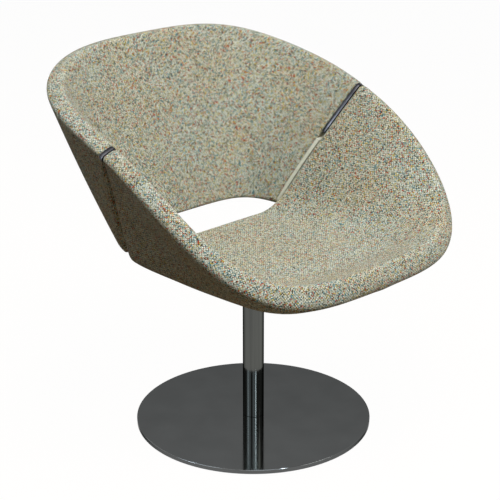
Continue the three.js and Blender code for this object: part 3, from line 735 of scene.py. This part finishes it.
seat_rows = rows_round(seat_row, SEAT_COLUMNS)
back_rows = rows_round(back_row, BACK_COLUMNS, BACK_START)
shell("seat_upholstery_cover", seat_rows, -1,
      (*RECESS_PLACES, FOOT_PLACE, RIM_PLACE, INNER_RIM_PLACE, PAN_PLACE))
shell("back_upholstery_cover", back_rows, 1, (BACK_FOOT_PLACE, BACK_RIM_PLACE, BACK_INNER_RIM_PLACE))


# Hard parts

SHORT_SIDE_SHARE = 0.3
CORNER_PULL = 0.7
GUARD_SHARE = 1.5
TURNED_SHARP_ANGLE = math.radians(75)
FLAT_ANGLE = math.radians(0.5)
BROKEN_EDGE_ANGLE = math.radians(35)
EDGED_SHARP_ANGLE = math.radians(25)

slots = {part["node"]: part["material_slot"] for part in frame["record"]["subparts"]}


def softened(profile, radius):
    """A half section with rounded corners. A guard point beside each rounding keeps the next face flat."""
    points = []
    for index, corner_point in enumerate(profile):
        at = Vector(corner_point)
        if at.x == 0:
            points.append(at)
            continue
        back = Vector(profile[index - 1]) - at
        on = Vector(profile[(index + 1) % len(profile)]) - at
        reach = min(radius, back.length * SHORT_SIDE_SHARE, on.length * SHORT_SIDE_SHARE)
        back, on = back.normalized() * reach, on.normalized() * reach
        middle = (at + (back + on) / 2).lerp(at, CORNER_PULL)
        points += [at + back * GUARD_SHARE, at + back, middle, at + on, at + on * GUARD_SHARE]
    return points


def turned(node, body, profile, segments, edge_radius, finish):
    """A turned part: its half section as radii and heights, spun round the column's axis."""
    bm = bmesh.new()
    points = softened(profile, edge_radius)
    verts = [bm.verts.new((radius, 0, height)) for radius, height in points]
    pairs = zip(verts, verts[1:] + verts[:1])
    edges = [bm.edges.new(pair) for pair in pairs if pair[0].co.x > 0 or pair[1].co.x > 0]
    bmesh.ops.spin(bm, geom=verts + edges, cent=(0, 0, 0), axis=UP, angle=2 * math.pi, steps=segments)
    bmesh.ops.remove_doubles(bm, verts=bm.verts, dist=MERGE_DISTANCE)
    bmesh.ops.recalc_face_normals(bm, faces=bm.faces)
    smoothed(bm, TURNED_SHARP_ANGLE)
    new_piece(f"{node}_turned", bm, finish, slots[node], body, [node])


def edged(node, body, edge_break, finish):
    """A copy of a CAD node with merged corners, flat faces joined and bevelled edges."""
    original = frame["nodes"][node]
    bm = bmesh.new()
    bm.from_mesh(original.data)
    bm.transform(original.matrix_world)
    bmesh.ops.remove_doubles(bm, verts=bm.verts, dist=MERGE_DISTANCE)
    bmesh.ops.dissolve_limit(bm, angle_limit=FLAT_ANGLE, verts=bm.verts, edges=bm.edges)
    bmesh.ops.recalc_face_normals(bm, faces=bm.faces)
    sharp = [edge for edge in bm.edges if edge.calc_face_angle(0) > BROKEN_EDGE_ANGLE]
    bmesh.ops.bevel(bm, geom=sharp, offset=edge_break, segments=2, profile=0.5, affect="EDGES",
                    clamp_overlap=True)
    smoothed(bm, EDGED_SHARP_ANGLE)
    new_piece(f"{node}_edged", bm, finish, slots[node], body, [node])


# Node, body, steps round the axis, edge rounding, and half section as radii and heights
TURNED_PARTS = (
    ("base_disc", "base", 240, 0.0008, (
        (0.0113, 0.001), (0.2237, 0.001), (0.2237, 0.0033), (0.2363, 0.0033), (0.2363, 0.001),
        (0.250, 0.001), (0.250, 0.010), (0.0063, 0.010), (0.0063, 0.0076), (0.0113, 0.0016))),
    ("floor_ring", "base", 180, 0.0004, ((0.224, 0), (0.236, 0), (0.236, 0.003), (0.224, 0.003))),
    ("column_tube", "base", 96, 0.0004, (
        (0.0195, 0.0103), (0.0225, 0.0103), (0.0225, 0.3345), (0.0195, 0.3345))),
    ("upper_bush", "base", 64, 0.0003, (
        (0.0128, 0.3118), (0.0192, 0.3118), (0.0192, 0.3348), (0.0225, 0.3348), (0.0225, 0.3378),
        (0.0128, 0.3378))),
    ("thrust_washer", "base", 64, 0.0003, (
        (0.0128, 0.3381), (0.0225, 0.3381), (0.0225, 0.3401), (0.0128, 0.3401))),
    ("swivel_spindle", "seat", 64, 0.0005, (
        (0, 0.1904), (0.0125, 0.1904), (0.0125, 0.2221), (0.0113, 0.2221), (0.0113, 0.2242),
        (0.0125, 0.2242), (0.0125, 0.3404), (0.0225, 0.3404), (0.0225, 0.3704), (0, 0.3704))),
)
for node, body, segments, edge_radius, profile in TURNED_PARTS:
    finish = column_finish if node == "column_tube" else finishes[slots[node]]
    turned(node, body, profile, segments, edge_radius, finish)

edged("seat_plate", "seat", 0.0004, finishes[slots["seat_plate"]])
for node in ("plate_bolt_1", "plate_bolt_2", "plate_bolt_3", "plate_bolt_4"):
    edged(node, "seat", 0.0003, finishes[slots[node]])
for node in ("joint_plate_right", "joint_plate_left"):
    edged(node, "seat", 0.0006, joint_plate_finish)


# Pale welts that close the gap between the shells below the plates

WELT_CLEARANCE = 0.0004
WELT_INNER_INSET = 0.0008
WELT_OUTER_INSET = 0.009
WELT_SIDE_START = 0.02


def cut_and_capped(bm, point, normal):
    """Cuts away what lies past a plane, and closes the cut."""
    cut = bmesh.ops.bisect_plane(bm, geom=everything(bm), plane_co=point, plane_no=normal,
                                 clear_outer=True)
    edges = [part for part in cut["geom_cut"] if isinstance(part, bmesh.types.BMEdge)]
    rim = [edge for edge in edges if edge.is_boundary]
    bmesh.ops.triangle_fill(bm, edges=rim, use_beauty=False, normal=normal)


def joint_welt(name, side, plate):
    """The back's section carried across the gap, on one side of the chair, up to the plate's lower end."""
    bm = lofted(back_rows)
    place = bm.verts.layers.float.get("place_in_row")
    bm.normal_update()
    for vert in bm.verts:
        inset = WELT_OUTER_INSET if vert[place] < BACK_RIM_PLACE else WELT_INNER_INSET
        vert.co -= vert.normal * inset
    beyond = [vert for vert in bm.verts if vert.co.x * side < WELT_SIDE_START]
    bmesh.ops.delete(bm, geom=beyond, context="VERTS")
    for keep in (-1, 1):
        face_point = JOINT_POINT + JOINT_NORMAL * (keep * (JOINT_GAP / 2 - WELT_CLEARANCE))
        cut_and_capped(bm, face_point, JOINT_NORMAL * keep)
    joint_up = (UP - JOINT_NORMAL * JOINT_NORMAL.z).normalized()
    plate_end = min(vert.co.dot(joint_up) for vert in frame["nodes"][plate].data.vertices)
    cut_and_capped(bm, joint_up * (plate_end - WELT_CLEARANCE), joint_up)
    bmesh.ops.recalc_face_normals(bm, faces=bm.faces)
    smoothed(bm)
    new_piece(name, bm, welt_finish, "tweed", "seat", [])


joint_welt("joint_welt_right", 1, "joint_plate_right")
joint_welt("joint_welt_left", -1, "joint_plate_left")


# The CAD nodes that stay take their finishes

for node, obj in frame["nodes"].items():
    obj.data.materials.clear()
    obj.data.materials.append(finishes[slots[node]])


# Floor, lights and camera

WHITE = (1, 1, 1, 1)
FLOOR_RADIUS = 14
FLOOR_COLOUR = (0.21, 0.165, 0.115, 1)
FLOOR_GLOW = 1.16
FLOOR_GLOW_SHARE = 0.84
WORLD_LIGHT = 0.03

LIGHT_AIM = Vector((0, 0, 0.5))
LIGHT_REACH = 3.0
WARM_WHITE = (1.0, 1.0, 0.99)
COOL_WHITE = (0.78, 0.89, 1.0)

# Lights: azimuth from the front towards the camera's side and elevation in degrees, width, and watts
LIGHTS = (
    ("overhead", 0, 80, 1.9, 31),
    ("left", 85, 58, 1.6, 27),
    ("camera_side", 38, 56, 1.6, 30),
    ("front", -26, 35, 1.6, 50),
    ("behind", 165, 32, 1.6, 12),
)

# Lights for glossy surfaces only, with a height after the width
GLOSS_LIGHTS = (
    ("left_gloss", 96, 16, 2.4, 2.4, 90),
    ("front_gloss", 36, 16, 1.6, 2.0, 50),
    ("left_streak", 103, 16, 0.25, 1.8, 26),
    ("front_streak", 17, 16, 0.2, 1.8, 110),
)


def stage_floor():
    """A floor that is nearly white where it is seen, and throws a dim warm light back."""
    finish = Finish("pale_floor")
    finish.shade(Base_Color=FLOOR_COLOUR, Roughness=0.9, Specular_IOR_Level=0.0)
    glow = finish.node("Emission", {"Color": WHITE, "Strength": FLOOR_GLOW})
    share = finish.math("MULTIPLY", finish.seen(), FLOOR_GLOW_SHARE)
    blend = finish.node("MixShader", {0: share, 1: finish.shader, 2: glow})
    finish.set(finish.tree.nodes["Material Output"].inputs["Surface"], blend)
    bm = bmesh.new()
    bmesh.ops.create_circle(bm, cap_ends=True, segments=64, radius=FLOOR_RADIUS)
    floor = new_mesh("floor", bm, finish.material)


def stage_world():
    """A world that is white where it is seen, and lights the chair only faintly."""
    world = bpy.data.worlds.new("studio")
    bpy.context.scene.world = world
    world.use_nodes = True
    sky = Nodes(world.node_tree)
    background = sky.tree.nodes["Background"]
    strength = sky.node("MapRange", {"Value": sky.seen(), "To Min": WORLD_LIGHT, "To Max": 1})
    sky.set(background.inputs["Strength"], strength)
    sky.set(background.inputs["Color"], WHITE)


def studio_light(name, azimuth, elevation, width, height, watts, colour):
    """A soft oval light that points at the chair's middle."""
    turn, rise = math.radians(azimuth), math.radians(elevation)
    away = Vector((-math.sin(turn) * math.cos(rise), -math.cos(turn) * math.cos(rise), math.sin(rise)))
    data = bpy.data.lights.new(name, "AREA")
    data.shape = "ELLIPSE"
    data.size = width
    data.size_y = height
    data.energy = watts
    data.color = colour
    light = in_scene(name, data)
    light.location = LIGHT_AIM + away * LIGHT_REACH
    light.rotation_euler = (-away).to_track_quat("-Z", "Y").to_euler()
    return light


stage_floor()
stage_world()
for name, azimuth, elevation, width, watts in LIGHTS:
    studio_light(name, azimuth, elevation, width, width, watts, WARM_WHITE)
for name, azimuth, elevation, width, height, watts in GLOSS_LIGHTS:
    studio_light(name, azimuth, elevation, width, height, watts, COOL_WHITE).visible_diffuse = False

# The camera solved from the photo
CAMERA_AZIMUTH = math.radians(44.2)
CAMERA_REACH = 2.7712
CAMERA_HEIGHT = 1.438
CAMERA_PITCH = math.radians(20.81)
SENSOR_WIDTH = 36
FOCAL_PIXELS = 1436.2
FRAME_PIXELS = 500
MIDDLE_PIXEL_X = 253.35

camera_data = bpy.data.cameras.new("camera")
camera_data.sensor_width = SENSOR_WIDTH
camera_data.lens = SENSOR_WIDTH * FOCAL_PIXELS / FRAME_PIXELS
camera_data.shift_x = (FRAME_PIXELS / 2 - MIDDLE_PIXEL_X) / FRAME_PIXELS
camera = in_scene("camera", camera_data)
camera.location = (-math.sin(CAMERA_AZIMUTH) * CAMERA_REACH, -math.cos(CAMERA_AZIMUTH) * CAMERA_REACH,
                   CAMERA_HEIGHT)
camera.rotation_euler = (math.pi / 2 - CAMERA_PITCH, 0, -CAMERA_AZIMUTH)
bpy.context.scene.camera = camera
bpy.context.scene.view_settings.view_transform = "Standard"
